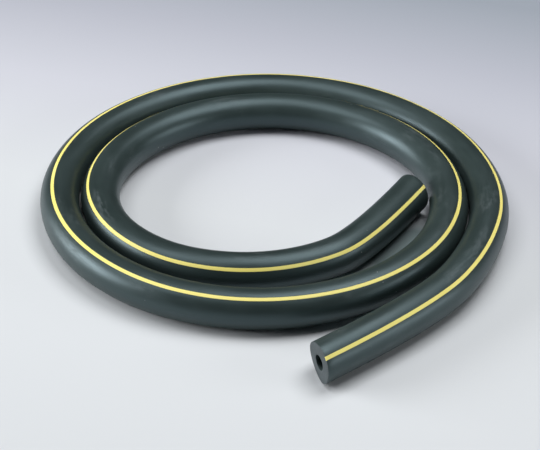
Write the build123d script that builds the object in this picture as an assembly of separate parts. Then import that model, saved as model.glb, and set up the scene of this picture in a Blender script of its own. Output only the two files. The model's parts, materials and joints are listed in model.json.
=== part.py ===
"""Thick-walled rubber tubing with one yellow line along it, lying flat in a loose coil.

The tube is laid anticlockwise, seen from above, from its outer end to its inner end, on the plane
Z = 0. Lengths are in millimetres and angles in degrees.
"""
import os
from math import pi, radians

from build123d import *

# The section of the tube
tube_od = 16.0
wall = 5.0
bore_d = tube_od - 2 * wall

# The coloured line, a strip of yellow rubber that lies flush in the outer skin
line_width = 1.45
line_depth = 0.5
line_lean = 33.0                # from the top of the tube towards the outside of the coil

# How the tube lies: its runs and bends as shares of its outside diameter, from the outer end
outer_heading = 38.5            # the way the tube leaves its outer end, from +X towards +Y
outer_run_share = 2.05
release_radius_share = 7.9      # the free end opens out of the coil in one wide bend
release_turn = 36.0
quarter_turn = 90.0
quarter_radius_shares = (5.78, 5.44, 5.24, 4.95, 4.61, 4.5, 3.68)
tip_radius_share = 3.95
tip_turn = 76.0
inner_run_share = 1.98

# Both ends were cut by hand, off square: turned in plan, and the outer one undercut a little
outer_knife_turn = 16.0
outer_knife_lean = 3.4
inner_knife_turn = 14.5
knife_overrun_share = 0.5       # of the outside diameter, cut away by the knife


def line_outline():
    """The strip's section: flat underneath, with parallel sides and the tube's own curve on top."""
    blank_height = tube_od / 2
    blank_middle = tube_od / 2 - line_depth + blank_height / 2
    blank = Pos(0, blank_middle) * Rectangle(line_width, blank_height)
    return Rot(0, 0, line_lean) * blank & Circle(tube_od / 2)


def tube_outline():
    """The tube's section: a ring round the bore, with the shallow seat that the strip fills."""
    return Circle(tube_od / 2) - Circle(bore_d / 2) - line_outline()


def section_plane(point, heading):
    """The plane across the tube at a point of its route: x towards the coil's middle, y up."""
    forward = Vector(1, 0, 0).rotate(Axis.Z, heading)
    inward = Vector(0, 1, 0).rotate(Axis.Z, heading)
    return Plane(origin=point, x_dir=inward, z_dir=forward)


def bends():
    """Each bend of the route as its radius and its turn, from the outer end to the inner end."""
    shares = [(release_radius_share, release_turn)]
    shares += [(share, quarter_turn) for share in quarter_radius_shares]
    shares += [(tip_radius_share, tip_turn)]
    return [(share * tube_od, turn) for share, turn in shares]


def cut_outer_end(run, point):
    """Trims the outer end with the knife's plane, which stands nearly upright."""
    knife_heading = outer_heading - outer_knife_turn
    into_tube = Vector(1, 0, 0).rotate(Axis.Y, -outer_knife_lean).rotate(Axis.Z, knife_heading)
    knife = Plane(origin=point, z_dir=into_tube)
    return split(run, bisect_by=knife, keep=Keep.TOP)


def cut_inner_end(run, point, heading):
    """Trims the inner end upright, longer on the side towards the coil's middle."""
    into_tube = Vector(-1, 0, 0).rotate(Axis.Z, heading - inner_knife_turn)
    knife = Plane(origin=point, z_dir=into_tube)
    return split(run, bisect_by=knife, keep=Keep.TOP)


def turned(point, centre, turn):
    """A point carried round an upright axis."""
    return (point - centre.position).rotate(Axis.Z, turn) + centre.position


def lay(outline):
    """Carries a section along the route: one piece for each run and bend, from the outer end."""
    outer_run = outer_run_share * tube_od
    inner_run = inner_run_share * tube_od
    overrun = knife_overrun_share * tube_od
    point = Vector(0, 0, tube_od / 2)
    heading = outer_heading
    plane = section_plane(point, heading)
    run = extrude(plane.offset(-overrun) * outline, amount=overrun + outer_run, dir=plane.z_dir)
    pieces = [cut_outer_end(run, point)]
    point = point + plane.z_dir * outer_run
    for radius, turn in bends():
        plane = section_plane(point, heading)
        centre = Axis(point + plane.x_dir * radius, (0, 0, 1))
        pieces.append(revolve(plane * outline, axis=centre, revolution_arc=turn))
        point = turned(point, centre, turn)
        heading += turn
    plane = section_plane(point, heading)
    run = extrude(plane * outline, amount=inner_run + overrun, dir=plane.z_dir)
    pieces.append(cut_inner_end(run, point + plane.z_dir * inner_run, heading))
    return pieces


def joined(pieces):
    """Joins pieces that follow each other into one solid."""
    return pieces[0].fuse(*pieces[1:])


def route_length():
    """The length of the tube along its middle line."""
    runs = (outer_run_share + inner_run_share) * tube_od
    return runs + sum(radius * radians(turn) for radius, turn in bends())


# The straight free end, which takes a fitting, and the coil behind it meet in one flat ring
tube_end, *coiled = lay(tube_outline())
tube_coil = joined(coiled)
yellow_line = joined(lay(line_outline()))
middle = Compound([tube_end, tube_coil]).bounding_box().center()
stand = Pos(-middle.X, -middle.Y, 0)
pieces = {"tube_end": tube_end, "tube_coil": tube_coil, "yellow_line": yellow_line}
nodes = {name: stand * piece for name, piece in pieces.items()}

os.makedirs("parts", exist_ok=True)
for name, node in nodes.items():
    export_step(node, f"parts/{name}.step")

wall_area = pi * (tube_od**2 - bore_d**2) / 4
filled = sum(piece.volume for piece in pieces.values())
print("route length", route_length())
print("volume over section times length", filled / (wall_area * route_length()))
print("outer end at", stand * Pos(0, 0, tube_od / 2))
print("bend radii", [radius for radius, turn in bends()])
print("box", Compound([tube_end, tube_coil]).bounding_box().size)
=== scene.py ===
# %% [markdown]
# # A coil of rubber tubing
# The object is one length of thick-walled vacuum tube, black rubber with a yellow line along it, that lies in
# about two loose turns. The CAD model already has its size and its place, so the imported model is loaded
# first and everything below is made in its frame, in metres.

# %% Load the imported model
import json
from math import ceil, cos, degrees, pi, radians, sin, tan

import bmesh
import bpy
from mathutils import Matrix, Vector


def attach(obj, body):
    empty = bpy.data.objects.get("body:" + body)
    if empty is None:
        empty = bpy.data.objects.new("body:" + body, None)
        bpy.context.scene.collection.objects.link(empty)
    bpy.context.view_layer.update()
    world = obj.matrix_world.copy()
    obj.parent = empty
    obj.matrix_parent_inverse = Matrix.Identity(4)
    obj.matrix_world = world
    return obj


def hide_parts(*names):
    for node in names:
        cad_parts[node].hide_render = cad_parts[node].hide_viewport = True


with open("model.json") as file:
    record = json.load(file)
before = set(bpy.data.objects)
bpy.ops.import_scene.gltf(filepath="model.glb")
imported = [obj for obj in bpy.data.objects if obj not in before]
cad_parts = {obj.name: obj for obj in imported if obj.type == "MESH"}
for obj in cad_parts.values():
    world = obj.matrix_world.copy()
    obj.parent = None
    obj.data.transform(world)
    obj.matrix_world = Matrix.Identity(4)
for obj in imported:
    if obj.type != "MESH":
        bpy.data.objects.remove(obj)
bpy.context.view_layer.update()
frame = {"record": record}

scene = bpy.context.scene
scene.view_settings.view_transform = "Standard"

# %% [markdown]
# ## Camera
# The photograph was taken from well above the table, from some way off and with a long lens, so the back of
# the coil looks only a little smaller than its front. A camera could be placed by eye, but the width of the
# tube at the front and at the back gives the distance, and the flattening of the turns gives the height, so
# the camera is set by those values. The frame leans by a fraction of a degree, as in a hand-held picture.

# %% Camera
image_width_px = 540
focal_length_px = 1705
sensor_width_mm = 36.0
camera_distance = 0.70635
camera_height_angle = radians(33.355)
camera_roll = radians(0.478)
camera_target = Vector((-0.00136, 0.00103, 0.0))

camera_offset = Vector((0.0, -cos(camera_height_angle), sin(camera_height_angle))) * camera_distance
camera_tilt = (pi / 2 - camera_height_angle, 0, 0)
bpy.ops.object.select_all(action="DESELECT")
bpy.ops.object.camera_add(location=camera_target + camera_offset, rotation=camera_tilt)
camera = bpy.context.object
camera.rotation_euler.rotate_axis("Z", camera_roll)
camera.data.sensor_width = sensor_width_mm
camera.data.lens = focal_length_px / image_width_px * sensor_width_mm
camera.data.clip_start = camera_distance / 50
scene.camera = camera
print(f"camera at {tuple(round(v, 3) for v in camera.location)}, lens {camera.data.lens:.1f} mm")

# %% [markdown]
# ## The route of the tube
# The tube was wound by hand and let go. Its outer end swings out of the coil, the two turns shrink a little
# with each quarter, and the inner end curls in. A coil like this could be drawn point by point, but it is
# easier to walk along it: go forward, turn by a small angle, go forward again. Each place where the walk
# turns becomes a control point of one NURBS spline, and the spline smooths the corners away. The bends are
# those of the CAD model: a radius in tube diameters, and a turn in degrees. The walk starts at the free end,
# which the record gives as a mount.

# %% Walk along the route
tube_diameter = 0.016
mounts = {mount["name"]: mount for mount in frame["record"]["mounts"]}
outer_end = mounts["outer_end_bore"]
outer_heading = Vector(outer_end["axis"]) * -1
outer_run = 2.05 * tube_diameter
inner_run = 1.98 * tube_diameter
release_bend = (7.9, 36)
quarter_bends = [(radius, 90) for radius in (5.78, 5.44, 5.24, 4.95, 4.61, 4.5, 3.68)]
tip_bend = (3.95, 76)
largest_turn_degrees = 30


def walk():
    """Control points from the outer end to the inner end, one for each small turn of the walk."""
    place = Vector(outer_end["pos_m"])
    heading = outer_heading.copy()
    points = [place]
    behind = outer_run
    for radius_share, bend_degrees in [release_bend, *quarter_bends, tip_bend]:
        turns = ceil(bend_degrees / largest_turn_degrees)
        turn = radians(bend_degrees / turns)
        reach = radius_share * tube_diameter * tan(turn / 2)
        for _ in range(turns):
            place = place + heading * (behind + reach)
            points.append(place)
            heading = Matrix.Rotation(turn, 3, "Z") @ heading
            behind = reach
    points.append(place + heading * (behind + inner_run))
    return points


control_points = walk()
print(len(control_points), "control points")

# %% [markdown]
# ## One smooth spline
# The spline is of order 3, so between the control points it bends evenly, like the tube does. Its order is
# set after its points, because a spline with too few points falls back to straight runs. The points that it
# passes through are read back from a mesh copy of the curve: they give the length of the tube.

# %% Draw the spline and measure it
route_curve = bpy.data.curves.new("route", "CURVE")
route_curve.dimensions = "3D"
route_curve.twist_mode = "Z_UP"
spline = route_curve.splines.new("NURBS")
spline.points.add(len(control_points) - 1)
for spline_point, place in zip(spline.points, control_points):
    spline_point.co = (*place, 1.0)
spline.order_u = 3
spline.use_endpoint_u = True
spline.resolution_u = 16
route = bpy.data.objects.new("route", route_curve)
scene.collection.objects.link(route)
bpy.context.view_layer.update()

route_mesh = bpy.data.meshes.new_from_object(route)
route_points = [vertex.co.copy() for vertex in route_mesh.vertices]
bpy.data.meshes.remove(route_mesh)
tube_length = sum((b - a).length for a, b in zip(route_points, route_points[1:]))
print(f"{len(route_points)} points on the spline, {tube_length:.4f} m of tube")

# %% [markdown]
# ## Picking in edit mode
# By hand, vertices and edges are picked with the mouse. Here a small helper picks those that pass a test of
# their place, and nothing else, so each edit below acts only on what it names. Another one measures how far
# a place is from the middle of the straight tube, which lies along the X axis.

# %% Helpers for edit mode


def edit(piece):
    """Opens one piece in edit mode, with nothing else selected."""
    if bpy.context.object and bpy.context.object.mode == "EDIT":
        bpy.ops.object.mode_set(mode="OBJECT")
    bpy.ops.object.select_all(action="DESELECT")
    bpy.context.view_layer.objects.active = piece
    piece.select_set(True)
    bpy.ops.object.mode_set(mode="EDIT")


def pick(kind, test):
    """Selects the vertices, edges or faces whose corners all pass the test, and returns how many."""
    bpy.ops.mesh.select_mode(type=kind)
    bpy.ops.mesh.select_all(action="DESELECT")
    shape = bmesh.from_edit_mesh(bpy.context.object.data)
    items = {"VERT": shape.verts, "EDGE": shape.edges, "FACE": shape.faces}[kind]
    picked = 0
    for item in items:
        corners = [item] if kind == "VERT" else item.verts
        if all(test(corner.co) for corner in corners):
            item.select_set(True)
            picked += 1
    shape.select_flush_mode()
    bmesh.update_edit_mesh(bpy.context.object.data)
    return picked


def extrude(offset):
    """Extrudes what is selected, the E key of edit mode, by a fixed offset."""
    bpy.ops.mesh.extrude_region_move(TRANSFORM_OT_translate={"value": offset})


def from_middle(co):
    """How far a place is from the middle line of the straight tube."""
    return co.yz.length


print("edit mode helpers ready")

# %% [markdown]
# ## The section of the tube
# Tubing like this is pressed hot through a die, so all of it has the same section. The section is drawn
# first, as a circle across the X axis. At its top two edges are extruded down: the two small faces that this
# leaves are the section of the yellow strip, and the edges round them are its seat in the black rubber. The
# strip's faces are then copied out as a piece of their own.

# %% Draw the section
tube_radius = tube_diameter / 2
line_depth = 0.0005
section_corners = 68
corner_angle = 2 * pi / section_corners
half_corner = corner_angle / 2
across_x = (0, pi / 2, 0)

bpy.ops.object.select_all(action="DESELECT")
bpy.ops.mesh.primitive_circle_add(vertices=section_corners, radius=tube_radius, rotation=across_x)
tube = bpy.context.object
tube.name = "coiled_tube"
bpy.ops.object.transform_apply(location=False, rotation=True, scale=False)

seat_top = tube_radius * cos(3 * half_corner)
seat_bottom = seat_top - 1.5 * line_depth
edit(tube)
pick("EDGE", lambda co: co.z > seat_top)
extrude((0, 0, -line_depth))
pick("FACE", lambda co: co.z > seat_bottom)
bpy.ops.mesh.duplicate()
bpy.ops.mesh.separate(type="SELECTED")
line = next(piece for piece in bpy.context.selected_objects if piece is not tube)
line.name = "yellow_strip"
print("sections of", tube.name, "and", line.name, "drawn")

# %% [markdown]
# ## Clean outlines
# Only outlines are drawn out below, so the faces go, and with them the corner of the circle that lies over
# the seat and the edge that divides the strip. The two rubbers meet in a fine crease, so the corners of the
# strip and of its seat are bevelled by less than a tenth of a millimetre. The bore is added as a second
# circle, with as many corners as the outside, so that the two can be bridged at the ends.

# %% Clear the outlines and add the bore
bore_radius = outer_end["dims"]["r_mm"] / 1000
crease = 0.00007

pick("FACE", lambda co: co.z > seat_bottom)
bpy.ops.mesh.delete(type="ONLY_FACE")
pick("VERT", lambda co: co.z > tube_radius * cos(half_corner))
bpy.ops.mesh.delete(type="VERT")

edit(line)
pick("FACE", lambda co: True)
bpy.ops.mesh.delete(type="ONLY_FACE")
pick("EDGE", lambda co: abs(co.y) < tube_radius * sin(half_corner))
bpy.ops.mesh.delete(type="EDGE")

for piece in (tube, line):
    edit(piece)
    pick("VERT", lambda co: co.z > seat_top and abs(co.y) > tube_radius * sin(half_corner))
    bpy.ops.mesh.bevel(offset=crease, affect="VERTICES")
edit(tube)
outline_corners = len(bmesh.from_edit_mesh(tube.data).verts)
bpy.ops.mesh.primitive_circle_add(vertices=outline_corners, radius=bore_radius, rotation=across_x)
bpy.ops.object.mode_set(mode="OBJECT")
line_width = 2 * tube_radius * sin(corner_angle)
print(f"tube outline of {outline_corners} corners, strip {line_width * 1000:.2f} mm wide")

# %% [markdown]
# ## Drawing the section out
# The die draws the section out into a length. One short step of it is extruded, and an Array modifier repeats
# the step to the full length and merges the seams. A single long extrusion would have no rings to bend at.

# %% Draw the tube and the strip out, still straight
step_count = 440
step = tube_length / step_count
merge_distance = crease / 20


def draw_out(piece):
    """Turns a section into a straight length along +X, open at both ends."""
    edit(piece)
    bpy.ops.mesh.select_mode(type="EDGE")
    bpy.ops.mesh.select_all(action="SELECT")
    extrude((step, 0, 0))
    bpy.ops.object.mode_set(mode="OBJECT")
    array = piece.modifiers.new("length", "ARRAY")
    array.count = step_count
    array.use_relative_offset = False
    array.use_constant_offset = True
    array.constant_offset_displace = (step, 0, 0)
    array.use_merge_vertices = True
    array.merge_threshold = merge_distance
    bpy.ops.object.modifier_apply(modifier=array.name)


for piece in (tube, line):
    draw_out(piece)
    print(piece.name, len(piece.data.vertices), "vertices,", f"{piece.dimensions.x:.4f} m long")

# %% [markdown]
# ## Closing the ends
# Each end of the tube is a flat ring from the outside to the bore, which Bridge Edge Loops makes with a few
# rings in between. Two loops in one plane can be bridged crosswise, so the rim of the bore is drawn out
# first, and the cone that the bridge makes is pressed flat by a scale of 0. The strip's ends are closed with
# one face each, flush with the rubber.

# %% Close the ends
face_rings = 4
end_margin = step / 20


def at_outer_end(co):
    """Is this place on the face of the outer end, while the tube is straight?"""
    return co.x < end_margin


def at_inner_end(co):
    """Is this place on the face of the inner end, while the tube is straight?"""
    return co.x > tube_length - end_margin


def in_bore(co):
    """Is this place on the wall of the bore?"""
    return from_middle(co) < 1.01 * bore_radius


for at_end, end_x, outwards in ((at_outer_end, 0.0, -1), (at_inner_end, tube_length, 1)):
    edit(tube)
    pick("VERT", lambda co: at_end(co) and in_bore(co))
    bpy.ops.transform.translate(value=(outwards * bore_radius, 0, 0))
    pick("EDGE", at_end)
    bpy.ops.mesh.bridge_edge_loops(number_cuts=face_rings, interpolation="LINEAR")
    pick("VERT", at_end)
    bpy.ops.transform.resize(value=(0, 1, 1), center_override=(end_x, 0, 0))
    edit(line)
    pick("EDGE", at_end)
    bpy.ops.mesh.edge_face_add()
    print("end at", round(end_x, 4), "m closed")

# %% [markdown]
# ## The rims
# A knife leaves a crisp edge on rubber, but not a perfect one, so the outer rim and the rim of the bore get a
# very small bevel. A bevel goes the wrong way where the faces beside an edge disagree on what is outside, so
# the normals are made consistent first. Where the strip is too thin for its bevel, corners end up on top of
# each other, and they are merged.

# %% Bevel the rims
rim_bevel = 0.00018


def on_rim(co):
    """Is this place on the outside or in the bore of the straight tube?"""
    return in_bore(co) or from_middle(co) > tube_radius * cos(corner_angle)


for piece in (tube, line):
    edit(piece)
    bpy.ops.mesh.select_all(action="SELECT")
    bpy.ops.mesh.normals_make_consistent(inside=False)
    for at_end in (at_outer_end, at_inner_end):
        rim_edges = pick("EDGE", lambda co: at_end(co) and on_rim(co))
        bpy.ops.mesh.bevel(offset=rim_bevel, segments=2, affect="EDGES")
        print(piece.name, rim_edges, "rim edges bevelled")
    bpy.ops.mesh.select_all(action="SELECT")
    bpy.ops.mesh.remove_doubles(threshold=merge_distance)
bpy.ops.object.mode_set(mode="OBJECT")

# %% [markdown]
# ## The twist of the tube
# The tube turned a little about itself as it was wound: the yellow line lies nearer to the top along the back
# and the left of the outer turn than at the ends. The lean of the line is given at even steps of the length,
# and eased from one to the next. Before anything moves, each vertex keeps its straight place in an attribute,
# so that streaks and dust can follow the tube however it lies.

# %% Twist the straight tube
leans_degrees = (42.5, 38, 26, 17.5, 17, 20.5, 28, 32, 33.5, 37, 39.5, 49, 45.5)
line_leans = [radians(lean) for lean in leans_degrees]


def lean_at(x):
    """How far the line leans out from the top of the tube, eased between even steps of the length."""
    steps = len(line_leans) - 1
    along = min(max(x / tube_length, 0.0), 1.0) * steps
    first = min(int(along), steps - 1)
    ease = (1 - cos(pi * (along - first))) / 2
    return line_leans[first] * (1 - ease) + line_leans[first + 1] * ease


for piece in (tube, line):
    straight = piece.data.attributes.new("straight", "FLOAT_VECTOR", "POINT")
    for vertex, kept in zip(piece.data.vertices, straight.data):
        kept.vector = vertex.co
        vertex.co = Matrix.Rotation(lean_at(vertex.co.x), 3, "X") @ vertex.co
quarters = [round(degrees(lean_at(share * tube_length))) for share in (0, 0.25, 0.5, 0.75, 1)]
print("from quarter to quarter the line leans out by", quarters, "degrees")

# %% [markdown]
# ## The cuts at the ends
# Both ends were cut by hand, off square. At the outer end the blade went in at a slant, a little undercut,
# and turned as it came down through the rubber. At the inner end it went straight down, but at a slant too,
# so that end is longer on the side of the coil's middle. The vertices near an end are slid along the tube by
# as much, less and less over about a centimetre, while the tube is still straight. Here Y points to the
# middle of the coil and Z points up.

# %% Shape the cuts
outer_knife_turn = radians(16.0)
outer_knife_lean = radians(3.4)
outer_twist_per_metre = 10.3
inner_knife_turn = radians(14.5)
knife_fade = 0.012


def outer_cut(co):
    """How far along the tube the blade went at the outer end, at a point of the section."""
    flat = co.y * tan(outer_knife_turn) - co.z * tan(outer_knife_lean)
    return flat - outer_twist_per_metre * co.y * co.z


def inner_cut(co):
    """How far along the tube the blade went at the inner end, at a point of the section."""
    return co.y * tan(inner_knife_turn)


def fade_from(distance):
    """All of a cut at the end itself, and none of it further on than the fade reaches."""
    return max(0.0, 1.0 - distance / knife_fade) ** 2


for piece in (tube, line):
    for vertex in piece.data.vertices:
        outer_slide = outer_cut(vertex.co) * fade_from(vertex.co.x)
        inner_slide = inner_cut(vertex.co) * fade_from(tube_length - vertex.co.x)
        vertex.co.x += outer_slide + inner_slide
inside = Vector((0, tube_radius, 0))
print(f"on the side of the coil's middle, the outer end is cut {outer_cut(inside) * 1000:.1f} mm short")
print(f"and the inner end {inner_cut(inside) * 1000:.1f} mm long")

# %% [markdown]
# ## Laying the tube in its coil
# A Curve modifier bends the straight length along the spline. It works in the object's own coordinates, so
# all three objects stay at the origin. When it is applied the spline has done its work and is removed.

# %% Bend the tube and the strip
smooth_below = radians(35)


def lay_in_coil(piece):
    """Bends a straight piece along the route and smooths its shading, except over sharp edges."""
    bend = piece.modifiers.new("coil", "CURVE")
    bend.object = route
    bend.deform_axis = "POS_X"
    edit(piece)
    bpy.ops.object.mode_set(mode="OBJECT")
    bpy.ops.object.modifier_apply(modifier=bend.name)
    bpy.ops.object.shade_smooth_by_angle(angle=smooth_below)


for piece in (tube, line):
    lay_in_coil(piece)
    corners = [vertex.co for vertex in piece.data.vertices]
    low = [round(min(co[axis] for co in corners), 4) for axis in range(3)]
    high = [round(max(co[axis] for co in corners), 4) for axis in range(3)]
    print(piece.name, "from", low, "to", high)
bpy.data.objects.remove(route)

# %% [markdown]
# ## Nodes in few words
# Every finish below is a network of shader nodes, and a few helpers keep the code short. They add a node and
# set its values, link or set one input, do a sum, lay a value out over a new range, blend two colours, start
# a node group with named outputs, and add a noise that is stretched along the tube.

# %% Helpers for shader nodes


def add(tree, kind, settings=None, **sockets):
    """Adds a node, sets its properties, and sets or links its inputs by name."""
    node = tree.nodes.new(kind)
    for name, value in (settings or {}).items():
        setattr(node, name, value)
    for name, value in sockets.items():
        feed(tree, node, name.replace("_", " "), value)
    return node


def feed(tree, node, name, value):
    """Links an output to a named or numbered input of a node, or sets the input's value."""
    socket = node.inputs[name]
    if isinstance(value, bpy.types.NodeSocket):
        tree.links.new(value, socket)
    else:
        socket.default_value = value


def calc(tree, operation, *values):
    """A Math node on one or two values, clamped to run from 0 to 1."""
    node = tree.nodes.new("ShaderNodeMath")
    node.operation = operation
    node.use_clamp = True
    for index, value in enumerate(values):
        feed(tree, node, index, value)
    return node.outputs["Value"]


def spread(tree, value, low, high, to_low=0.0, to_high=1.0):
    """Lays a value that runs from low to high out over a new range, and holds it at both ends."""
    node = add(tree, "ShaderNodeMapRange", Value=value)
    for name, number in (("From Min", low), ("From Max", high), ("To Min", to_low), ("To Max", to_high)):
        node.inputs[name].default_value = number
    return node.outputs["Result"]


def blend(tree, factor, low, high):
    """A colour between two colours."""
    node = add(tree, "ShaderNodeMix", {"data_type": "RGBA"})
    feed(tree, node, "Factor", factor)
    for name, colour in (("A", low), ("B", high)):
        socket = next(s for s in node.inputs if s.name == name and s.type == "RGBA")
        if isinstance(colour, bpy.types.NodeSocket):
            tree.links.new(colour, socket)
        else:
            socket.default_value = (*colour, 1.0)
    return next(s for s in node.outputs if s.type == "RGBA")


def new_group(name, outputs):
    """A shader node group that takes a place on the straight tube and puts out the named values."""
    group = bpy.data.node_groups.new(name, "ShaderNodeTree")
    group.interface.new_socket("Place", in_out="INPUT", socket_type="NodeSocketVector")
    for output in outputs:
        group.interface.new_socket(output, in_out="OUTPUT", socket_type="NodeSocketFloat")
    place = group.nodes.new("NodeGroupInput").outputs["Place"]
    return group, place, group.nodes.new("NodeGroupOutput")


def noise(tree, place, per_metre, detail=2.0, roughness=0.5):
    """Noise with so many waves to the metre along, across and through the straight tube."""
    scaled = add(tree, "ShaderNodeVectorMath", {"operation": "MULTIPLY"})
    feed(tree, scaled, 0, place)
    feed(tree, scaled, 1, per_metre)
    texture = add(tree, "ShaderNodeTexNoise", Vector=scaled.outputs["Vector"], Scale=1.0, Detail=detail)
    texture.inputs["Roughness"].default_value = roughness
    return texture.outputs["Fac"]


print("node helpers ready")

# %% [markdown]
# ## Drawn skin
# The die leaves its trace on both rubbers: very fine lines along the tube, a soft cloudiness where the rubber
# cooled and bloomed unevenly, and a matt grain that is too fine to see but spreads every highlight. Streaks
# could be painted on an unwrapped skin, but the straight place of each vertex already runs along the tube, so
# a noise that is stretched along it follows every bend. All rubbers here use this, so it is a node group.

# %% Drawn skin
fine_line_waves = (14, 1300, 1300)
broad_line_waves = (5, 330, 330)
cloud_waves = (45, 110, 110)
grain_waves = (1900, 2600, 2600)

drawn_skin, place, output = new_group("drawn_skin", ("Streaks", "Clouds", "Grain"))
fine_lines = spread(drawn_skin, noise(drawn_skin, place, fine_line_waves, detail=2), 0.3, 0.7)
broad_lines = spread(drawn_skin, noise(drawn_skin, place, broad_line_waves, detail=1), 0.35, 0.65)
clouds = spread(drawn_skin, noise(drawn_skin, place, cloud_waves, detail=4, roughness=0.6), 0.3, 0.7)
grain = noise(drawn_skin, place, grain_waves, detail=2)
feed(drawn_skin, output, "Streaks", calc(drawn_skin, "MULTIPLY", fine_lines, broad_lines))
feed(drawn_skin, output, "Clouds", clouds)
feed(drawn_skin, output, "Grain", grain)
print(drawn_skin.name, len(drawn_skin.nodes), "nodes")

# %% [markdown]
# ## Dust and handling
# A tube from a laboratory drawer is never quite clean. Pale specks of talc and dust sit on it, more of them
# in some places than in others, and where it was rubbed the black has faint grey scuffs. Specks are the
# middles of Voronoi cells, cut off at a small distance that differs from cell to cell, and a slow noise says
# where they gather. Scuffs are short streaks that show only inside a few patches. This is a group too.

# %% Dust and handling
cells_per_metre = 260.0
largest_speck = 0.085
bare_cells = 0.55
gathering_waves = (22, 60, 60)
patch_waves = (26, 95, 95)
rub_waves = (240, 520, 900)

handling, place, output = new_group("handling", ("Specks", "Scuffs"))
cells = add(handling, "ShaderNodeTexVoronoi", Vector=place, Scale=cells_per_metre)
size = add(handling, "ShaderNodeSeparateColor", Color=cells.outputs["Color"]).outputs["Red"]
reach = spread(handling, size, bare_cells, 1.0, 0.0, largest_speck)
specks = calc(handling, "GREATER_THAN", reach, cells.outputs["Distance"])
gathered = spread(handling, noise(handling, place, gathering_waves, detail=1), 0.5, 0.62)
feed(handling, output, "Specks", calc(handling, "MULTIPLY", specks, gathered))
patches = spread(handling, noise(handling, place, patch_waves, detail=2), 0.56, 0.72)
rubs = spread(handling, noise(handling, place, rub_waves, detail=3, roughness=0.65), 0.42, 0.68)
feed(handling, output, "Scuffs", calc(handling, "MULTIPLY", patches, rubs))
print(handling.name, len(handling.nodes), "nodes")

# %% [markdown]
# ## Rubber in general
# The three rubbers are built alike: a clouded base, a part of the streaks, scuffs or specks laid over it in
# another colour, and the grain in a Bump node. Three helpers do this, so each finish below is only its own
# colours and values.

# %% Helpers for rubber


def start_rubber(name):
    """A new material with the two shared groups, both reading the straight place of the tube."""
    material = bpy.data.materials.new(name)
    material.use_nodes = True
    tree = material.node_tree
    straight_place = add(tree, "ShaderNodeAttribute", {"attribute_name": "straight"}).outputs["Vector"]
    skin = add(tree, "ShaderNodeGroup", {"node_tree": drawn_skin}, Place=straight_place)
    dust = add(tree, "ShaderNodeGroup", {"node_tree": handling}, Place=straight_place)
    return material, tree, skin.outputs, dust.outputs


def lay_over(tree, tone, mask, share, colour):
    """Lays a share of a colour over a tone, where the mask shows."""
    return blend(tree, calc(tree, "MULTIPLY", mask, share), tone, colour)


def finish_rubber(tree, colour, roughness, height, depth):
    """Feeds the material's own shader with a colour, a roughness and a bump of so many metres."""
    shader = tree.nodes["Principled BSDF"]
    tree.links.new(colour, shader.inputs["Base Color"])
    tree.links.new(roughness, shader.inputs["Roughness"])
    bump = add(tree, "ShaderNodeBump", Height=height, Strength=1.0, Distance=depth)
    tree.links.new(bump.outputs["Normal"], shader.inputs["Normal"])
    return shader


skin_depth = 0.00003
cut_depth = 0.00012
dust_tone = (0.4, 0.42, 0.42)
print("rubber helpers ready")

# %% [markdown]
# ## Black rubber
# The skin is a satin blue-black: dark, but lifted by the carbon-black bloom to a soft charcoal. Its gloss is
# broad and even, so the roughness is middling. It follows the clouds, and it rises where the skin is scuffed.
# The grain goes into the bump at a few hundredths of a millimetre. The sheen of such a skin is cool, which
# the shader's specular tint gives.

# %% Black rubber
skin_dark, skin_pale = (0.0205, 0.0315, 0.03), (0.029, 0.043, 0.0415)
skin_streak = (0.04, 0.0545, 0.053)
skin_scuff = (0.13, 0.15, 0.155)
sheen_level = 0.7
sheen_tint = (0.68, 0.915, 1.0, 1.0)

black_rubber, tree, skin, dust = start_rubber("black_rubber")
tone = blend(tree, skin["Clouds"], skin_dark, skin_pale)
tone = lay_over(tree, tone, skin["Streaks"], 0.25, skin_streak)
tone = lay_over(tree, tone, dust["Scuffs"], 0.42, skin_scuff)
tone = lay_over(tree, tone, dust["Specks"], 0.7, dust_tone)
gloss = spread(tree, skin["Clouds"], 0.0, 1.0, 0.35, 0.45)
gloss = calc(tree, "ADD", gloss, calc(tree, "MULTIPLY", dust["Scuffs"], 0.2))
shader = finish_rubber(tree, tone, gloss, skin["Grain"], skin_depth)
shader.inputs["Specular IOR Level"].default_value = sheen_level
shader.inputs["Specular Tint"].default_value = sheen_tint
print(black_rubber.name, len(tree.nodes), "nodes")

# %% [markdown]
# ## Cut rubber
# Where the knife went through, the skin is gone and the rubber shows its inside: matt, and a shade paler than
# the skin. It has the same dust, and the grain of the group is used four times as deep.

# %% Cut rubber
cut_dark, cut_pale = (0.05, 0.066, 0.0715), (0.076, 0.094, 0.102)

cut_rubber, tree, skin, dust = start_rubber("cut_rubber")
tone = blend(tree, skin["Clouds"], cut_dark, cut_pale)
tone = lay_over(tree, tone, dust["Specks"], 0.5, dust_tone)
gloss = spread(tree, skin["Grain"], 0.3, 0.7, 0.62, 0.8)
finish_rubber(tree, tone, gloss, skin["Grain"], cut_depth)
print(cut_rubber.name, len(tree.nodes), "nodes")

# %% [markdown]
# ## Yellow rubber
# The strip is the same rubber without the carbon black, coloured a pale lemon yellow. It is drawn through the
# same die, so it has the same lines and grain, and it takes the dirt of handling as a slightly greyer,
# greener yellow.

# %% Yellow rubber
yellow_deep, yellow_pale = (0.955, 0.835, 0.215), (0.98, 0.88, 0.275)
yellow_streak = (0.88, 0.74, 0.185)
yellow_scuff = (0.6, 0.55, 0.24)

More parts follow.
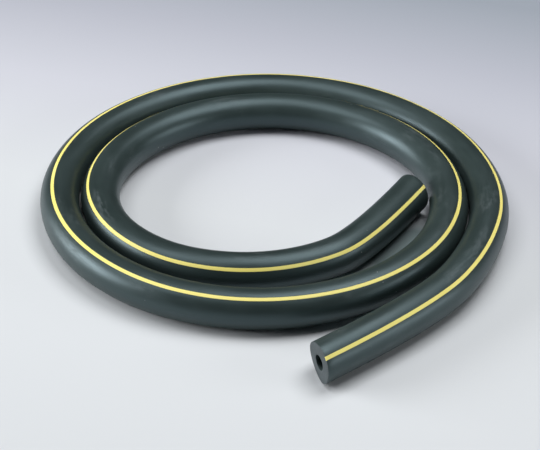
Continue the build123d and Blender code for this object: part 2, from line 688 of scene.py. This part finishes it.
yellow_rubber, tree, skin, dust = start_rubber("yellow_rubber")
tone = blend(tree, skin["Clouds"], yellow_deep, yellow_pale)
tone = lay_over(tree, tone, skin["Streaks"], 0.25, yellow_streak)
tone = lay_over(tree, tone, dust["Scuffs"], 0.25, yellow_scuff)
gloss = spread(tree, skin["Clouds"], 0.0, 1.0, 0.42, 0.5)
finish_rubber(tree, tone, gloss, skin["Grain"], skin_depth)
print(yellow_rubber.name, len(tree.nodes), "nodes")

# %% [markdown]
# ## Putting the finishes on
# A face of the tube is a cut face if all its corners were on the end of the straight tube. Every other face
# is drawn skin, inside the bore too.

# %% Put the finishes on
for material in (black_rubber, cut_rubber):
    tube.data.materials.append(material)
line.data.materials.append(yellow_rubber)
straight_places = [kept.vector.copy() for kept in tube.data.attributes["straight"].data]
cut_faces = 0
for face in tube.data.polygons:
    corners = [straight_places[index] for index in face.vertices]
    if all(at_outer_end(co) for co in corners) or all(at_inner_end(co) for co in corners):
        face.material_index = 1
        cut_faces += 1
print(cut_faces, "cut faces of", len(tube.data.polygons))

# %% [markdown]
# ## Stage
# The coil lies on a large sheet of pale, cool paper. The sheet is one plane at the height that the coil rests
# on.

# %% Floor
floor_size = 16.0

bpy.ops.object.select_all(action="DESELECT")
bpy.ops.mesh.primitive_plane_add(size=floor_size)
floor = bpy.context.object
floor.name = "floor"
print(floor.name, floor_size, "m square")

# %% [markdown]
# ## Colour of the paper
# The paper's colour falls off into grey towards the back and the right, as a long sheet does when it leaves
# the light. This is painted shade, and it goes from near to far in a few steps. Beside the inner end, where
# two stretches of tube lie close, hardly any light comes down to the paper. The soft boxes stand all round
# and would fill that wedge with light, so painted shade makes the paper darker there, in a soft oval. A
# Mapping node makes a circle of one unit out of the oval, and the distance from its middle says how much
# shade there is.

# %% Colour of the paper
falloff_end = 0.25
falloff_to_right = 0.35
# painted shade: the paper's colour darkens in these steps from near to far
floor_steps = (
    (0.0, (0.7, 0.728, 0.755)),
    (0.36, (0.604, 0.618, 0.68)),
    (0.68, (0.458, 0.475, 0.54)),
    (1.0, (0.326, 0.359, 0.412)),
)
shade_place = (0.0505, -0.0145, 0.0)
shade_turn = (0.0, 0.0, radians(52))
shade_reach = (0.032, 0.013, 1.0)
shade_core = 0.45
shade_depth = 0.84
shade_tone = (0.075, 0.125, 0.125)


def length_of(tree, vector):
    """How long a vector is, as a value."""
    node = add(tree, "ShaderNodeVectorMath", {"operation": "LENGTH"})
    feed(tree, node, 0, vector)
    return node.outputs["Value"]


paper = bpy.data.materials.new("floor_paper")
paper.use_nodes = True
tree = paper.node_tree
on_floor = add(tree, "ShaderNodeTexCoord").outputs["Object"]
spot = add(tree, "ShaderNodeSeparateXYZ", Vector=on_floor)
sideways = add(tree, "ShaderNodeMath", {"operation": "MULTIPLY_ADD"})
for index, value in enumerate((spot.outputs["X"], falloff_to_right, spot.outputs["Y"])):
    feed(tree, sideways, index, value)
ramp = add(tree, "ShaderNodeValToRGB", Fac=spread(tree, sideways.outputs["Value"], 0.0, falloff_end))
while len(ramp.color_ramp.elements) < len(floor_steps):
    ramp.color_ramp.elements.new(0.5)
for element, (position, colour) in zip(ramp.color_ramp.elements, floor_steps):
    element.position = position
    element.color = (*colour, 1.0)
oval = add(tree, "ShaderNodeMapping", {"vector_type": "TEXTURE"}, Vector=on_floor)
for name, value in (("Location", shade_place), ("Rotation", shade_turn), ("Scale", shade_reach)):
    oval.inputs[name].default_value = value
shade = spread(tree, length_of(tree, oval.outputs["Vector"]), shade_core, 1.0, shade_depth, 0.0)
paper_tone = blend(tree, shade, ramp.outputs["Color"], shade_tone)
print(paper.name, len(tree.nodes), "nodes so far")

# %% [markdown]
# ## The far paper
# Well away from the coil, under the lamps, the paper would burn out, and the far end of so large a sheet
# would be black. So from there on it is an even, faintly glowing grey: its own colour fades to black as the
# glow comes up. It has no gloss, or the lamps would show in it from the side.

# %% The far paper
even_from = 0.42
even_beyond = 0.9
even_grey = (0.5, 0.515, 0.555)
black = (0.0, 0.0, 0.0)
paper_roughness = 0.9

even = spread(tree, length_of(tree, on_floor), even_from, even_beyond)
shader = tree.nodes["Principled BSDF"]
tree.links.new(blend(tree, even, paper_tone, black), shader.inputs["Base Color"])
tree.links.new(blend(tree, even, black, even_grey), shader.inputs["Emission Color"])
shader.inputs["Emission Strength"].default_value = 1.0
shader.inputs["Roughness"].default_value = paper_roughness
shader.inputs["Specular IOR Level"].default_value = 0.0
floor.data.materials.append(paper)
print(paper.name, len(tree.nodes), "nodes")

# %% [markdown]
# ## Studio light
# Four soft boxes light the coil. A wide one stands low on the left and draws the broad pale band along the
# outside of the turns, and one high above it lightens their left shoulders. A third hangs overhead, a little
# to the back, and gives the tops a soft sheen, and a weak one stands low on the right. In front of the coil
# there is nothing, so what faces the camera stays dark. An even grey world would be simpler, but it has no
# shape, and a black tube shows its form only by what it mirrors. Each box is placed by its turn round the
# coil, counted from the camera's side to the right, by its height angle and by its distance.

# %% Studio light
soft_boxes = {
    "left": {"turn": 268, "height": 18, "distance": 1.4, "size": (0.93, 0.62), "watts": 18.4},
    "high_left": {"turn": 268, "height": 66, "distance": 1.2, "size": (0.6, 0.6), "watts": 4.3},
    "overhead": {"turn": 120, "height": 71, "distance": 0.7, "size": (0.5, 0.42), "watts": 3.25},
    "right": {"turn": 75, "height": 14, "distance": 1.2, "size": (0.67, 0.4), "watts": 3.7},
}
dark_room = (0.01, 0.01, 0.01, 1.0)

world = bpy.data.worlds.new("studio")
scene.world = world
world.use_nodes = True
world.node_tree.nodes["Background"].inputs["Color"].default_value = dark_room
for name, box in soft_boxes.items():
    turn, height = radians(box["turn"]), radians(box["height"])
    towards = Vector((sin(turn) * cos(height), -cos(turn) * cos(height), sin(height)))
    bpy.ops.object.light_add(type="AREA", location=towards * box["distance"])
    lamp = bpy.context.object
    lamp.name = f"{name}_soft_box"
    lamp.rotation_euler = towards.to_track_quat("Z", "Y").to_euler()
    lamp.data.shape = "RECTANGLE"
    lamp.data.size, lamp.data.size_y = box["size"]
    lamp.data.energy = box["watts"]
    lamp.visible_camera = False
    print(lamp.name, "at", tuple(round(v, 2) for v in lamp.location), lamp.data.energy, "W")

# %% [markdown]
# ## Hand over
# Each piece rides on the one body of the part, and the CAD nodes that it stands for are hidden.

# %% Hand over
for piece, nodes, slot in (
    (tube, ("tube_end", "tube_coil"), "black_rubber"),
    (line, ("yellow_line",), "yellow_rubber"),
):
    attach(piece, "root")
    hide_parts(*nodes)
